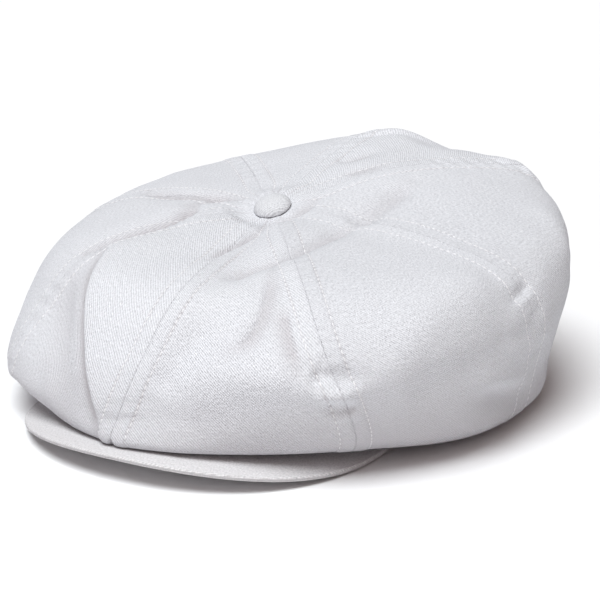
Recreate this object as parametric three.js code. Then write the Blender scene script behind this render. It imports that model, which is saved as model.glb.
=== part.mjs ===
import * as THREE from "three";

// A white cotton cap with a full, soft crown of eight panels, a covered button and a short peak.
// Millimetres, +Z up. The front of the cap faces -Y and the wearer's left is +X.
// The cap stands on the lower edge of its sweatband, with the soft crown slouched over the peak.

// Driving sizes of the head opening and the sweatband
const OPENING_HALF_WIDTH = 83;
const OPENING_HALF_LENGTH = 99;
const BAND_HEIGHT = 30;
const BAND_WALL = 2;
const BAND_STEPS = 72;

// The front of the cap is arched up over the brow by this much
const BROW_ARCH = 11.5;

// Driving sizes of the peak, which thins from PEAK_EDGE_FROM of its way out
const PEAK_HALF_WIDTH = 90;
const PEAK_REACH = 144.5;
const PEAK_WIDEST_AT = 56;
const PEAK_ROUNDNESS = 0.92;
const PEAK_WALL = 2.6;
const PEAK_EDGE_WALL = 1.6;
const PEAK_EDGE_FROM = 0.88;
const PEAK_RISE = 11;
const PEAK_END_ANGLE = 108;
const PEAK_END_Y = -15;
const PEAK_STEPS = 48;
const PEAK_ROWS = [0, 0.25, 0.5, 0.72, 0.88, 0.97, 1];

// Driving sizes of the crown. Places on it count levels down from the button, as FOLDS says.
// Its middle is slouched by TIP_SHIFT, which fades out at level TIP_SHIFT_END. The cloth lies
// flat under the button to level SEAT_FLAT, and has its own slope from level SEAT_END.
const CROWN_TOP = 95.5;
const CROWN_SHIFT = { x: 5.5, y: 0 };
const CROWN_MIDDLE = new THREE.Vector3(CROWN_SHIFT.x, CROWN_SHIFT.y, 45);
const TIP_SHIFT = { x: -3.4, y: -6 };
const TIP_SHIFT_END = 2.2;
const SEAT_FLAT = 0.19;
const SEAT_END = 0.5;
const PANEL_WALL = 1.5;
const PANEL_COUNT = 8;
const PANEL_TURN = 360 / PANEL_COUNT;
const PANEL_START = 0.1;
const SEAM_DIP = 1;
const SEAM_DIP_HALF_WIDTH = 4;
const SEAM_STRIP = 0.045;
const REST_HEIGHT = 3.4;
const HEM_RUN_IN = 10;

// Folds reach their full depth by FOLDS_FROM, fade out between FOLDS_TO and HEM_LEVEL, and keep
// FOLD_END_SHARE of their depth at their ends
const FOLDS_FROM = 0.6;
const FOLDS_TO = 4.2;
const HEM_LEVEL = 5;
const FOLD_END_SHARE = 0.35;

// Pieces that meet keep this gap
const GAP = 0.3;
const PEAK_CLEARANCE = 0.6;

// Driving sizes of the covered button
const BUTTON_RADIUS = 9.3;
const BUTTON_DOME = 4.4;
const BUTTON_FACING = new THREE.Vector3(-0.05, -0.34, 0.94);
const BUTTON_RIM = 1.2;
const BUTTON_EDGE = 0.5;
const BUTTON_SHANK_RADIUS = 3.6;
const BUTTON_SHANK_LENGTH = 2.2;
const BUTTON_STEPS = 28;

// A row of a table with its columns' names
function named(columns, row) {
  return Object.fromEntries(columns.map((column, i) => [column, row[i]]));
}

// The crown's profile at each seam, from the front seam round the wearer's left.
// turn and hemTurn swing the seam sideways above and at the hem, in degrees. The heights and
// distances from the crown's axis are those of four levels: rim, side, tuck and hem. mid is the
// height halfway between the button and the rim, and puff fills out the panel after the seam.
const SEAM_COLUMNS = [
  "seam", "turn", "hemTurn", "mid", "rimR", "rimZ",
  "sideR", "sideZ", "tuckR", "tuckZ", "hemR", "hemZ", "puff",
];
const SEAMS = [
  ["front",         4, -5,  89, 105,  82, 128.5, 55, 133, 30, 134, 14.5, -2],
  ["front_left",  -10,  1,  94, 108,  86, 137, 58, 132, 31, 115, 11.5,  2],
  ["left",         -4,  5, 97.5, 115, 87, 136, 63, 129.5, 28, 119,  4,   2],
  ["back_left",     9,  0, 109, 130,  98, 138, 70, 130, 22, 125,  5,    3],
  ["back",          6,  0, 105, 110, 104, 140, 57, 134, 22, 118,  5,    0],
  ["back_right",   -1,  0,  98, 111,  90, 141, 61, 134, 22, 118,  5,    1],
  ["right",        -1,  0,  95, 103,  83, 131, 55, 131, 22, 120,  5,    0],
  ["front_right",   5, -3,  94, 101,  81, 124, 52, 138, 22, 114,  9.5,  1],
].map((row) => named(SEAM_COLUMNS, row));

// The eight panels: the seam each starts at, and how finely it is divided across.
const PANELS = [
  { name: "panel_front_left",  seam: 0, columns: 12 },
  { name: "panel_left_front",  seam: 1, columns: 12 },
  { name: "panel_left_back",   seam: 2, columns: 9 },
  { name: "panel_back_left",   seam: 3, columns: 9 },
  { name: "panel_back_right",  seam: 4, columns: 8 },
  { name: "panel_right_back",  seam: 5, columns: 8 },
  { name: "panel_right_front", seam: 6, columns: 9 },
  { name: "panel_front_right", seam: 7, columns: 13 },
];

// Folds and creases of the crown. around counts seams from the front seam, and down counts levels:
// 0 button, 1 halfway to the rim, 2 rim, 3 side, 4 tuck, 5 hem, 6 sweatband. Each fold runs through
// three places. Looking along it from outside, left and right are its half widths on either hand,
// and depth is its depth, below zero for a valley, all in millimetres.
const FOLD_COLUMNS = ["fold", "around", "down", "left", "right", "depth"];
const FOLDS = [
  ["right_brow_edge",       [7.15, 7.68, 7.95],   [1.8, 3.1, 4.6],      22, 5.5, 4.5],
  ["right_brow_hollow",     [7, 7.42, 7.8],       [2.3, 3.1, 4.3],      10, 16, -2],
  ["right_brow_tuck",       [7, 7.25, 7.5],       [3.9, 3.85, 3.75],    12, 12, -2],
  ["front_diagonal_lower",  [0.3, 0.2, 0.12],     [2.3, 2.9, 3.55],     9, 7, -2.8],
  ["front_diagonal_upper",  [0.24, 0.55, 0.9],    [1.72, 1.4, 1.3],     10, 6, -2.6],
  ["front_diagonal_middle", [0.85, 1.3, 2],       [1.32, 1.02, 0.8],    9, 7, -3.4],
  ["front_diagonal_left",   [1.9, 2.3, 2.68],     [0.82, 0.88, 1.03],   11, 8, -3.2],
  ["front_panel_curve",     [0.77, 0.68, 0.5],    [1.5, 2.3, 2.7],      12, 5, -1.8],
  ["front_low_roll",        [0.42, 0.66, 0.86],   [3, 2.95, 3],         10, 10, 1],
  ["front_low_hollow",      [0.42, 0.66, 0.86],   [3.6, 3.55, 3.6],     10, 10, -1],
  ["front_left_pucker",     [0.9, 0.99, 1.12],    [2.95, 3.08, 3.08],   6, 6, -3.4],
  ["left_side_edge",        [1.26, 1.6, 1.94],    [2.84, 2.35, 2.12],   14, 12, 2.5],
  ["left_low_hollow",       [1.2, 1.55, 1.9],     [3.5, 3.3, 2.95],     16, 14, -4],
  ["left_side_roll",        [1.57, 1.74, 1.95],   [3.6, 3.77, 4],       6, 6, 2],
  ["left_side_tuck",        [1.57, 1.76, 1.98],   [3.85, 4.05, 4.3],    7, 7, -2],
  ["left_back_edge",        [2.6, 2.46, 2.38],    [1.9, 2.3, 2.9],      10, 10, 1.5],
  ["button_crease_front",   [-0.05, 0.2, 0.46],   [1.2, 0.75, 0.46],    8, 5, -1],
  ["button_crease_right",   [6.97, 6.95, 6.45],   [1.97, 1.05, 0.78],   9, 5, -2.2],
  ["button_crease_back",    [5.96, 6.1, 5.85],    [1.6, 0.9, 0.42],     6, 6, -1.8],
  ["back_crease",           [3.72, 3.63, 3.58],   [0.9, 1.05, 1.3],     8, 8, -2],
  ["back_left_puff",        [3.72, 3.8, 3.88],    [1.7, 1.85, 2],       16, 16, 4],
  ["back_left_hollow",      [3.5, 3.45, 3.4],     [1.5, 1.95, 2.3],     15, 15, -4.5],
  ["left_back_shoulder",    [2.98, 3.05, 3.1],    [1.85, 2, 2.15],      14, 14, 3.5],
  ["back_slump",            [4.4, 4.9, 5.3],      [2.6, 2.9, 2.7],      12, 12, -3],
  ["right_slump",           [5.7, 6.1, 6.6],      [3.4, 3.2, 3.5],      12, 12, -3],
  ["right_back_valley",     [5.6, 5.5, 5.45],     [2, 2.8, 3.8],        10, 10, -3],
].map((row) => named(FOLD_COLUMNS, row));

// Colours of the pieces
const COTTON = 0xe4e5ea;
const PEAK_COTTON = 0xe2dfe4;
const BAND_COTTON = 0xdedde0;

function smooth(t) {
  const u = Math.min(Math.max(t, 0), 1);
  return u * u * (3 - 2 * u);
}

// A smooth curve through b and c, with a and d the values before and after them
function through(a, b, c, d, t) {
  const linear = (c - a) * t;
  const square = (2 * a - 5 * b + 4 * c - d) * t * t;
  const cube = (3 * b - a - 3 * c + d) * t * t * t;
  return 0.5 * (2 * b + linear + square + cube);
}

// One column of the seam table at any place around the crown
function around(s, key) {
  const base = Math.floor(s);
  const pick = (step) => SEAMS[(base + step + 2 * PANEL_COUNT) % PANEL_COUNT][key];
  return through(pick(-1), pick(0), pick(1), pick(2), s - base);
}

// A value that follows a short list of levels, straight between them
function between(p, levels, values) {
  let i = 0;
  while (i < levels.length - 2 && p > levels[i + 1]) {
    i += 1;
  }
  const t = Math.min(Math.max((p - levels[i]) / (levels[i + 1] - levels[i]), 0), 1);
  return values[i] + (values[i + 1] - values[i]) * t;
}

// Distance from the cap's axis to the outer face of the sweatband, by direction from the front
function openingRadius(angle, inset) {
  const across = Math.sin(angle) / (OPENING_HALF_WIDTH - inset);
  const along = Math.cos(angle) / (OPENING_HALF_LENGTH - inset);
  return 1 / Math.hypot(across, along);
}

function browHeight(angle) {
  return BROW_ARCH * Math.max(Math.cos(angle), 0) ** 2;
}

function peakUnderside(x) {
  return PEAK_RISE * Math.max(1 - (x / PEAK_HALF_WIDTH) ** 2, 0);
}

function signedPower(value, power) {
  return Math.sign(value) * Math.abs(value) ** power;
}

// The crown's smooth outer surface: s counts seams round from the front, p counts levels down.
// Under the button the cloth lies flat against it.
function crownBase(s, p) {
  const hemShare = smooth((p - 1.5) / 3.5);
  const turn = around(s, "turn") * (1 - hemShare) + around(s, "hemTurn") * hemShare;
  const angle = THREE.MathUtils.degToRad(PANEL_TURN * s + turn);
  const opening = openingRadius(angle, 0);
  const foot = browHeight(angle) + REST_HEIGHT;
  const opposite = s + PANEL_COUNT / 2;
  const radii = [
    -0.5 * around(opposite, "rimR"), 0, 0.5 * around(s, "rimR"), around(s, "rimR"),
    around(s, "sideR"), around(s, "tuckR"), around(s, "hemR"), opening + GAP, opening - HEM_RUN_IN,
  ];
  const heights = [
    around(opposite, "mid"), CROWN_TOP, around(s, "mid"), around(s, "rimZ"),
    around(s, "sideZ"), around(s, "tuckZ"), around(s, "hemZ"), foot, foot,
  ];
  const i = Math.min(Math.max(Math.floor(p), 0), 5);
  let radius = through(radii[i], radii[i + 1], radii[i + 2], radii[i + 3], p - i);
  let height = through(heights[i], heights[i + 1], heights[i + 2], heights[i + 3], p - i);

  const across = Math.sin(Math.PI * (s - Math.floor(s))) ** 2;
  const fullness = between(p, [0, 0.6, 1.5, 2, 3, 4, 5, 6], [0, 0.2, 0.8, 1, 1, 0.8, 0.5, 0]);
  const facing = between(p, [0, 1, 2, 3, 4, 5, 6], [1, 1, 0.7, 0.1, -0.1, -0.5, -1]);
  const puff = SEAMS[Math.floor(s + PANEL_COUNT) % PANEL_COUNT].puff * across * fullness;
  radius += puff * Math.sqrt(1 - facing * facing);
  height += puff * facing;

  const shiftShare = 1 - smooth(p - HEM_LEVEL);
  const tipShare = 1 - smooth(p / TIP_SHIFT_END);
  const x = radius * Math.sin(angle) + shiftShare * CROWN_SHIFT.x + tipShare * TIP_SHIFT.x;
  const y = -radius * Math.cos(angle) + shiftShare * CROWN_SHIFT.y + tipShare * TIP_SHIFT.y;

  const aheadX = x - CROWN_SHIFT.x - TIP_SHIFT.x;
  const aheadY = y - CROWN_SHIFT.y - TIP_SHIFT.y;
  const slope = (aheadX * BUTTON_FACING.x + aheadY * BUTTON_FACING.y) / BUTTON_FACING.z;
  const seatShare = 1 - smooth((p - SEAT_FLAT) / (SEAT_END - SEAT_FLAT));
  height += seatShare * (CROWN_TOP - slope - height);
  return new THREE.Vector3(x, y, height);
}

function crownNormal(s, p) {
  const step = 0.02;
  const sideways = crownBase(s + step, p).sub(crownBase(s - step, p));
  const downward = crownBase(s, Math.min(p + step, 6)).sub(crownBase(s, p - step));
  return downward.cross(sideways).normalize();
}

// Each fold as a short run of points on the smooth surface
function foldPath(fold) {
  const steps = 14;
  const path = [];
  for (let i = 0; i <= steps; i += 1) {
    const t = i / steps;
    const first = 2 * (t - 0.5) * (t - 1);
    const middle = -4 * t * (t - 1);
    const last = 2 * t * (t - 0.5);
    const s = first * fold.around[0] + middle * fold.around[1] + last * fold.around[2];
    const p = first * fold.down[0] + middle * fold.down[1] + last * fold.down[2];
    path.push(crownBase(s, p));
  }
  return path;
}

const FOLD_PATHS = FOLDS.map(foldPath);

// How deep the folds are at a point of the smooth surface
function foldDepth(point) {
  let depth = 0;
  const nearest = new THREE.Vector3();
  const offset = new THREE.Vector3();
  const along = new THREE.Vector3();
  const leftward = new THREE.Vector3();
  const outward = new THREE.Vector3().subVectors(point, CROWN_MIDDLE);
  const segment = new THREE.Line3();
  FOLDS.forEach((fold, index) => {
    const path = FOLD_PATHS[index];
    let distance = Infinity;
    let place = 0;
    let hand = 0;
    for (let i = 0; i < path.length - 1; i += 1) {
      segment.set(path[i], path[i + 1]);
      const t = segment.closestPointToPointParameter(point, true);
      segment.at(t, nearest);
      if (nearest.distanceTo(point) < distance) {
        distance = nearest.distanceTo(point);
        place = (i + t) / (path.length - 1);
        leftward.crossVectors(outward, segment.delta(along)).normalize();
        hand = offset.subVectors(point, nearest).dot(leftward) / Math.max(distance, 0.001);
      }
    }
    const half = fold.right + (fold.left - fold.right) * smooth((1 + hand) / 2);
    const fade = smooth(place * 4) * smooth((1 - place) * 4);
    const share = FOLD_END_SHARE + (1 - FOLD_END_SHARE) * fade;
    depth += fold.depth * share * Math.exp(-((distance / half) ** 2));
  });
  return depth;
}

// The crown with its folds and with the seams drawn in, and the normal it was moved along
function crownPoint(s, p) {
  const base = crownBase(s, p);
  const normal = crownNormal(s, p);
  const fade = smooth(p / FOLDS_FROM) * (1 - smooth((p - FOLDS_TO) / (HEM_LEVEL - FOLDS_TO)));
  const nearestSeam = Math.round(s);
  const seamDistance = base.distanceTo(crownBase(nearestSeam, p));
  const dip = SEAM_DIP * Math.exp(-((seamDistance / SEAM_DIP_HALF_WIDTH) ** 2));
  const point = base.clone().addScaledVector(normal, fade * (foldDepth(base) - dip));
  if (p > 4 && point.y < PEAK_END_Y) {
    const lowest = peakUnderside(point.x) + PEAK_WALL + PEAK_CLEARANCE;
    point.z = Math.max(point.z, lowest);
  }
  return { point, normal };
}

// A closed mesh from points and faces. The faces are turned so that they all point outward.
function closedMesh(name, colour, points, faces) {
  let volume = 0;
  const cross = new THREE.Vector3();
  for (const [a, b, c] of faces) {
    volume += points[a].dot(cross.crossVectors(points[b], points[c]));
  }
  const index = faces.flatMap(([a, b, c]) => (volume > 0 ? [a, b, c] : [a, c, b]));
  const geometry = new THREE.BufferGeometry().setFromPoints(points);
  geometry.setIndex(index);
  geometry.computeVertexNormals();
  const material = new THREE.MeshStandardMaterial({ color: colour, roughness: 0.95, metalness: 0 });
  const mesh = new THREE.Mesh(geometry, material);
  mesh.name = name;
  return mesh;
}

// A solid between two grids of points, outer and inner, closed along its edges.
// A looped solid joins its last column to its first.
function shell(name, colour, outer, inner, looped) {
  const columns = outer.length;
  const rows = outer[0].length;
  const points = [...outer.flat(), ...inner.flat()];
  const outerAt = (i, j) => (i % columns) * rows + j;
  const innerAt = (i, j) => columns * rows + (i % columns) * rows + j;
  const faces = [];
  const quad = (a, b, c, d) => {
    faces.push([a, b, c], [a, c, d]);
  };
  const lastColumn = looped ? columns : columns - 1;
  for (let i = 0; i < lastColumn; i += 1) {
    for (let j = 0; j < rows - 1; j += 1) {
      quad(outerAt(i, j), outerAt(i, j + 1), outerAt(i + 1, j + 1), outerAt(i + 1, j));
      quad(innerAt(i, j), innerAt(i + 1, j), innerAt(i + 1, j + 1), innerAt(i, j + 1));
    }
    quad(outerAt(i, 0), outerAt(i + 1, 0), innerAt(i + 1, 0), innerAt(i, 0));
    const end = rows - 1;
    quad(outerAt(i + 1, end), outerAt(i, end), innerAt(i, end), innerAt(i + 1, end));
  }
  if (!looped) {
    for (let j = 0; j < rows - 1; j += 1) {
      quad(outerAt(0, j + 1), outerAt(0, j), innerAt(0, j), innerAt(0, j + 1));
      const side = columns - 1;
      quad(outerAt(side, j), outerAt(side, j + 1), innerAt(side, j + 1), innerAt(side, j));
    }
  }
  return closedMesh(name, colour, points, faces);
}

// Levels at which every panel has a row of points, closer together where the cloth turns
const PANEL_LEVELS = [
  PANEL_START, 0.3, 0.55, 0.8, 1.05, 1.3, 1.55, 1.8, 2.05, 2.3, 2.6, 2.9,
  3.2, 3.5, 3.8, 4.1, 4.4, 4.65, 4.85, 5, 5.15, 5.4, 5.7, 6,
];

// Places across a panel, with a narrow strip along each seam
function panelColumns(count) {
  const places = [0, SEAM_STRIP];
  for (let i = 1; i < count - 2; i += 1) {
    places.push(SEAM_STRIP + ((1 - 2 * SEAM_STRIP) * i) / (count - 2));
  }
  places.push(1 - SEAM_STRIP, 1);
  return places;
}

function panel({ name, seam, columns }) {
  const outer = [];
  const inner = [];
  for (const place of panelColumns(columns)) {
    const outerColumn = [];
    const innerColumn = [];
    for (const p of PANEL_LEVELS) {
      const width = crownBase(seam, p).distanceTo(crownBase(seam + 1, p));
      const inset = (GAP / 2 / width) * (1 - 2 * place);
      const { point, normal } = crownPoint(seam + place + inset, p);
      outerColumn.push(point);
      innerColumn.push(point.clone().addScaledVector(normal, -PANEL_WALL));
    }
    outer.push(outerColumn);
    inner.push(innerColumn);
  }
  return shell(name, COTTON, outer, inner, false);
}

// The sweatband: an upright ring round the head opening, raised at the brow
function sweatband() {
  const outer = [];
  const inner = [];
  for (let i = 0; i < BAND_STEPS; i += 1) {
    const angle = (2 * Math.PI * i) / BAND_STEPS;
    const bottom = browHeight(angle);
    const outward = new THREE.Vector3(Math.sin(angle), -Math.cos(angle), 0);
    const place = (inset, height) => {
      const point = outward.clone().multiplyScalar(openingRadius(angle, inset));
      point.z = bottom + height;
      return point;
    };
    outer.push([place(0, 0), place(0, BAND_HEIGHT / 2), place(0, BAND_HEIGHT)]);
    inner.push([place(BAND_WALL, 0), place(BAND_WALL, BAND_HEIGHT / 2), place(BAND_WALL, BAND_HEIGHT)]);
  }
  return shell("sweatband", BAND_COTTON, outer, inner, true);
}

// The peak: a thin crescent from the sweatband out to its rounded front edge
function peak() {
  const top = [];
  const bottom = [];
  for (let i = 0; i <= PEAK_STEPS; i += 1) {
    const sweep = THREE.MathUtils.degToRad(PEAK_END_ANGLE) * ((2 * i) / PEAK_STEPS - 1);
    const outerX = PEAK_HALF_WIDTH * signedPower(Math.sin(sweep), PEAK_ROUNDNESS);
    const forward = (PEAK_REACH - PEAK_WIDEST_AT) * signedPower(Math.cos(sweep), PEAK_ROUNDNESS);
    const outerY = -(PEAK_WIDEST_AT + forward);
    const angle = Math.atan2(outerX, -outerY);
    const innerRadius = openingRadius(angle, -GAP);
    const innerX = innerRadius * Math.sin(angle);
    const innerY = -innerRadius * Math.cos(angle);
    const topColumn = [];
    const bottomColumn = [];
    for (const share of PEAK_ROWS) {
      const x = innerX + (outerX - innerX) * share;
      const y = innerY + (outerY - innerY) * share;
      const under = peakUnderside(x);
      const edge = smooth((share - PEAK_EDGE_FROM) / (1 - PEAK_EDGE_FROM));
      const wall = PEAK_WALL + (PEAK_EDGE_WALL - PEAK_WALL) * edge;
      topColumn.push(new THREE.Vector3(x, y, under + wall));
      bottomColumn.push(new THREE.Vector3(x, y, under));
    }
    top.push(topColumn);
    bottom.push(bottomColumn);
  }
  return shell("peak", PEAK_COTTON, top, bottom, false);
}

// The covered button: a low dome with a shank through the middle of the crown,
// set square to the cloth that lies flat under it
function button() {
  const centre = crownBase(0, 0);
  const facing = BUTTON_FACING.clone().normalize();
  let lift = 0;
  for (let i = 0; i < 2 * PANEL_COUNT; i += 1) {
    const ahead = crownPoint(i / 2, SEAT_FLAT).point.sub(centre).dot(facing);
    lift = Math.max(lift, ahead);
  }
  const base = lift + GAP;
  const profile = [
    { radius: BUTTON_SHANK_RADIUS, height: -BUTTON_SHANK_LENGTH },
    { radius: BUTTON_SHANK_RADIUS, height: base },
    { radius: BUTTON_RADIUS - BUTTON_EDGE, height: base },
    { radius: BUTTON_RADIUS, height: base + BUTTON_RIM / 2 },
  ];
  const domeSteps = 5;
  for (let i = 0; i < domeSteps; i += 1) {
    const angle = (Math.PI / 2) * (i / domeSteps);
    profile.push({
      radius: BUTTON_RADIUS * Math.cos(angle),
      height: base + BUTTON_RIM + (BUTTON_DOME - BUTTON_RIM) * Math.sin(angle),
    });
  }
  const turned = new THREE.Quaternion().setFromUnitVectors(new THREE.Vector3(0, 0, 1), facing);
  const set = (x, y, z) => new THREE.Vector3(x, y, z).applyQuaternion(turned).add(centre);
  const points = [];
  for (const { radius, height } of profile) {
    for (let i = 0; i < BUTTON_STEPS; i += 1) {
      const angle = (2 * Math.PI * i) / BUTTON_STEPS;
      points.push(set(radius * Math.cos(angle), radius * Math.sin(angle), height));
    }
  }
  const foot = points.push(set(0, 0, -BUTTON_SHANK_LENGTH)) - 1;
  const crest = points.push(set(0, 0, base + BUTTON_DOME)) - 1;
  const faces = [];
  for (let i = 0; i < BUTTON_STEPS; i += 1) {
    const next = (i + 1) % BUTTON_STEPS;
    for (let ring = 0; ring < profile.length - 1; ring += 1) {
      const low = ring * BUTTON_STEPS;
      const high = low + BUTTON_STEPS;
      faces.push([low + i, low + next, high + next], [low + i, high + next, high + i]);
    }
    const last = (profile.length - 1) * BUTTON_STEPS;
    faces.push([foot, next, i], [crest, last + i, last + next]);
  }
  return closedMesh("button", COTTON, points, faces);
}

const cap = new THREE.Group();
PANELS.forEach((entry) => cap.add(panel(entry)));
cap.add(button(), peak(), sweatband());

// The origin is at the middle of the cap's outer box, at its lowest height
const box = new THREE.Box3().setFromObject(cap);
const middle = box.getCenter(new THREE.Vector3());
cap.position.set(-middle.x, -middle.y, -box.min.z);

export default cap;
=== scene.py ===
import math

import bmesh
import bpy
import numpy as np
from mathutils import Matrix, Vector, noise


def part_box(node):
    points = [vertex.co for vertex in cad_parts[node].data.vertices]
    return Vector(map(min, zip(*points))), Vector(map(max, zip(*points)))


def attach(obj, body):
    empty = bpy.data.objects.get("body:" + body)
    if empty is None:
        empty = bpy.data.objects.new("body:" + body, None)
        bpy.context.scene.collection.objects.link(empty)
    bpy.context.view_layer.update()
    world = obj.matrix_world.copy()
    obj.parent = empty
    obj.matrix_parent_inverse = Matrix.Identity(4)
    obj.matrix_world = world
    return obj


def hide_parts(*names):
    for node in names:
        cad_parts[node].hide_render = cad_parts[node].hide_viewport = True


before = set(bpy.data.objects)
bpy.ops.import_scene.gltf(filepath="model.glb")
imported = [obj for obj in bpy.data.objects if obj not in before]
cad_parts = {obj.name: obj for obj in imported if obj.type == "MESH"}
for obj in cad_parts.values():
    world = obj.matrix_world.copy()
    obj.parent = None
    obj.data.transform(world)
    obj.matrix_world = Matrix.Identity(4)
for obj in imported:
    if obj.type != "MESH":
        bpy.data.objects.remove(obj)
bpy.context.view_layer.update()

# A white cotton cap: a soft crown of eight panels, a covered button, a short peak and a sweatband.
# Sizes are in millimetres round the cap's own upright axis, and MM turns them into metres.
# The front of the cap faces -Y and the wearer's left is +X.
MM = 0.001

# The cap's axis stands at the middle of the head opening
band_low, band_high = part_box("sweatband")
AXIS = np.array([(band_low[0] + band_high[0]) / 2, (band_low[1] + band_high[1]) / 2, 0.0])

# Sizes of the head opening, the sweatband and the peak
OPENING_HALF_WIDTH = 83
OPENING_HALF_LENGTH = 99
BAND_HEIGHT = 30
BAND_CLOTH = 1.8
BAND_BOW = 0.25
BAND_WAVE = 0.18
BAND_WAVES = 23
BAND_ROW_HEIGHT = 3
BAND_STITCH_PITCH = 3.6
BAND_THREAD_LIFT = 0.05
BAND_THREAD_CLEARANCE = 0.1
BROW_ARCH = 11.5
PEAK_HALF_WIDTH = 90
PEAK_REACH = 144.5
PEAK_WIDEST_AT = 56
PEAK_ROUNDNESS = 0.92
PEAK_WALL = 2.6
PEAK_EDGE_ROUND = 1.2
PEAK_ROW_CROWDING = 1.8
PEAK_RISE = 11
PEAK_END_ANGLE = 108
PEAK_END_Y = -15
PEAK_CLEARANCE = 0.6
WELT_DEPTH = 0.12
WELT_FROM_EDGE = 2.2
WELT_HALF_WIDTH = 0.9
GAP = 0.3

# Sizes of the crown. Places on it count levels down from the button, as FOLDS says. Its middle is
# slouched by TIP_SHIFT, which fades out at level TIP_SHIFT_END. The cloth lies flat under the
# button to level SEAT_FLAT, and has its own slope from level SEAT_END. From level HEM_TURN_FROM
# the seams swing toward their places at the hem. HEM_RUN_IN is how far in the cloth would go past
# the sweatband, which sets its slope there.
CROWN_TOP = 95.5
CROWN_SHIFT = (5.5, 0)
TIP_SHIFT = (-3.4, -6)
TIP_SHIFT_END = 2.2
SEAT_FLAT = 0.19
SEAT_END = 0.5
HEM_TURN_FROM = 1.5
HEM_RUN_IN = 10
REST_HEIGHT = 3.4
TUCK_LEVEL = 4
HEM_LEVEL = 5
LAST_LEVEL = 6
PANEL_COUNT = 8
PANEL_START = 0.1
PANEL_CLOTH = 1.2

# How full a puffed panel is and how far its cloth faces up, by level
FULLNESS = ([0, 0.6, 1.5, 2, 3, 4, 5, 6], [0, 0.2, 0.8, 1, 1, 0.8, 0.5, 0])
FACING_UP = ([0, 1, 2, 3, 4, 5, 6], [1, 1, 0.7, 0.1, -0.1, -0.5, -1])

# Folds are full from level FOLDS_FROM and fade out between FOLDS_TO and FOLDS_END. They keep
# FOLD_END_SHARE of their depth at their ends and rise to full over 1 / FOLD_FADE of their length.
# Each runs through FOLD_POINTS points and moves the cloth in a box FOLD_REACH half widths round it.
FOLDS_FROM = 0.5
FOLDS_TO = 4.6
FOLDS_END = 5.2
FOLD_END_SHARE = 0.35
FOLD_FADE = 4
FOLD_REACH = 2.5
FOLD_POINTS = 15

# Sizes of the button. BUTTON_GATHERS has the number, height and phase of each run of gathers at
# its rim, from GATHERS_FROM of its radius. The dome's powers shape its side view.
BUTTON_RADIUS = 9.3
BUTTON_DOME = 4.4
BUTTON_UNDER = 0.9
BUTTON_STAND = 0.7
BUTTON_FACING = (-0.05, -0.34, 0.94)
BUTTON_GATHERS = [(17, 0.07, 0), (29, 0.05, 1)]
GATHERS_FROM = 0.72
RIM_RIPPLE = 0.012
DOME_SPREAD = 0.85
DOME_SQUARENESS = 2.6
DOME_SHOULDER = 0.62
UNDER_SHOULDER = 0.6
SHANK_RADIUS = 3.6
SHANK_LENGTH = 2.4
SHANK_SINK = 1.6

# The seams: a ditch where two panels meet, raised cloth over the allowances, two rows of stitches.
# They are full from level SEAMS_FROM and fade out between the hem and level SEAMS_END.
SEAMS_FROM = 0.3
SEAMS_END = 5.5
DITCH_DEPTH = 0.3
DITCH_HALF_WIDTH = 0.6
ALLOWANCE_HEIGHT = 0.55
ALLOWANCE_EDGE = 0.6
ALLOWANCE_FADE = 2.4
ROW_OFFSET = 7.5
ROW_WIDTH_SHARE = 0.36
ROW_END = 5.05
ROW_GROOVE = 0.6
ROW_GROOVE_HALF_WIDTH = 0.85
GROOVE_BEAT = 0.25
STITCH_PITCH = 3.2
STITCH_SPAN = 0.8
STITCH_LENGTH = 2.4
STITCH_WIDTH = 0.6
STITCH_HEIGHT = 0.48
THREAD_LIFT = 0.12

# Painted shade, from 0 to 1, that darkens the cloth's colour in the ditch, along the stitch rows and
# in their needle holes. It drifts along a seam, and creases from FULL_SHADE_DEPTH get full painted
# shade.
DITCH_SHADE = 0.2
ROW_SHADE = 0.35
HOLE_SHADE = 0.6
ROW_SHADE_HALF_WIDTH = 0.7
SHADE_DRIFT = 0.3
SHADE_DRIFT_RATE = 0.13
SHADE_SEAM_STEP = 1.7
FULL_SHADE_DEPTH = 2.1

# The crown's profile at each seam, from the front seam round the wearer's left. turn and hem_turn
# swing the seam sideways above and at the hem, in degrees, mid is the height halfway between the
# button and the rim, and puff fills out the panel after the seam. The rest are distances from the
# axis and heights at the rim, side, tuck and hem.
SEAM_COLUMNS = [
    "turn", "hem_turn", "mid", "rim_r", "rim_z",
    "side_r", "side_z", "tuck_r", "tuck_z", "hem_r", "hem_z", "puff",
]
SEAM_ROWS = {
    "front":       (4, -5, 89, 105, 82, 128.5, 55, 133, 30, 134, 14.5, -2),
    "front_left":  (-10, 1, 94, 108, 86, 137, 58, 132, 31, 115, 11.5, 2),
    "left":        (-4, 5, 97.5, 115, 87, 136, 63, 129.5, 28, 119, 4, 2),
    "back_left":   (9, 0, 109, 130, 98, 138, 70, 130, 22, 125, 5, 3),
    "back":        (6, 0, 105, 110, 104, 140, 57, 134, 22, 118, 5, 0),
    "back_right":  (-1, 0, 98, 111, 90, 141, 61, 134, 22, 118, 5, 1),
    "right":       (-1, 0, 95, 103, 83, 131, 55, 131, 22, 120, 5, 0),
    "front_right": (5, -3, 94, 101, 81, 124, 52, 138, 22, 114, 9.5, 1),
}
SEAMS = {
    column: np.array([row[i] for row in SEAM_ROWS.values()], dtype=float)
    for i, column in enumerate(SEAM_COLUMNS)
}

# How strongly each seam stands out, from the front seam round the wearer's left
SEAM_PRESS = (1, 0.85, 0.2, 0.7, 0.8, 0.8, 0.7, 0.7)

# How much painted shade darkens the cloth toward the hem below each seam, from the front seam, and
# the levels at which the painted shade starts and is full
PAINTED_HEM_SHADE = (0.22, 0.78, 0.7, 0.35, 0.3, 0.3, 0.35, 0.7)
HEM_SHADE_START = 3.2
HEM_SHADE_FULL = 4.6

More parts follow.
